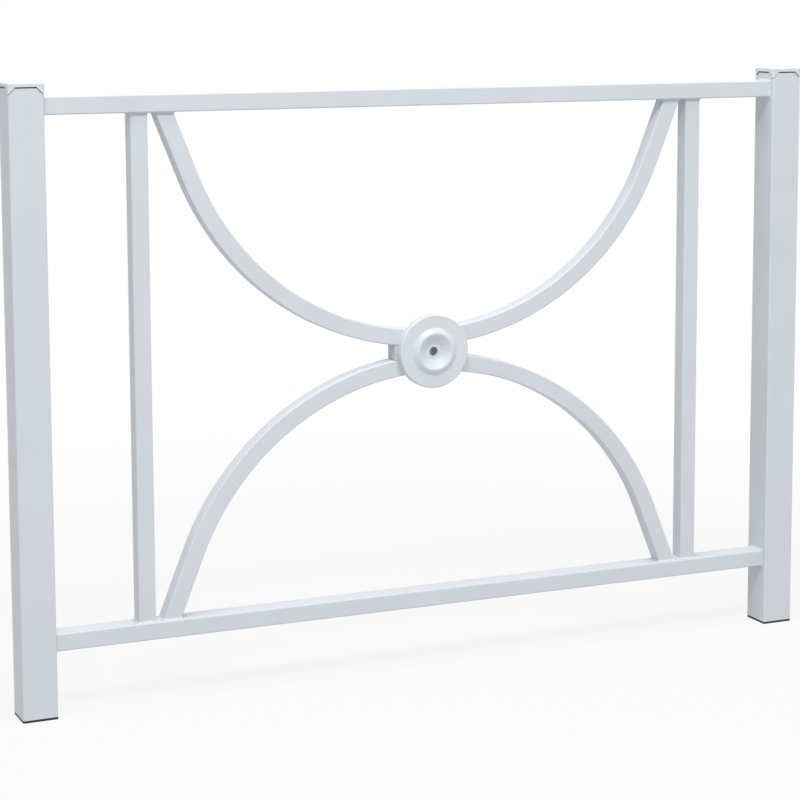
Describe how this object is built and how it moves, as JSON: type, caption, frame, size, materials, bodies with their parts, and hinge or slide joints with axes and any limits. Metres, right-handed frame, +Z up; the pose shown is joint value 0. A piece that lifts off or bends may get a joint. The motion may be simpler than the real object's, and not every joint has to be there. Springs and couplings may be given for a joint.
{
  "type": "street barrier",
  "caption": "Welded square-tube street barrier: two capped posts joined by rails, with uprights and two opposed bowed arcs that meet at a round boss.",
  "frame": {"origin": "centre of the underside of the left post's foot plug, where that post meets the ground", "axes": "+X from the left post to the right post, +Y away from the side that is seen, +Z up"},
  "size_m": [1.502, 0.0671, 1.0629],
  "materials": {
    "powder_coat": "satin pale grey powder coat on steel tube",
    "cap_coat": "satin pale grey powder coat on a pressed cap",
    "rosette_coat": "satin pale grey powder coat on a turned boss",
    "black_plastic": "matte black moulded plug",
    "fastener": "dark plated steel"
  },
  "bodies": {
    "root": {"left_post": "powder_coat", "right_post": "powder_coat", "top_rail": "powder_coat", "bottom_rail": "powder_coat", "left_upright": "powder_coat", "right_upright": "powder_coat", "upper_arc": "powder_coat", "lower_arc": "powder_coat", "centre_spacer": "powder_coat", "left_cap": "cap_coat", "right_cap": "cap_coat", "front_rosette": "rosette_coat", "left_foot_plug": "black_plastic", "right_foot_plug": "black_plastic", "left_cap_carrier": "black_plastic", "right_cap_carrier": "black_plastic", "front_washer": "fastener", "rear_washer": "fastener", "centre_bolt": "fastener", "barrel_nut": "fastener"}
  },
  "joints": []
}
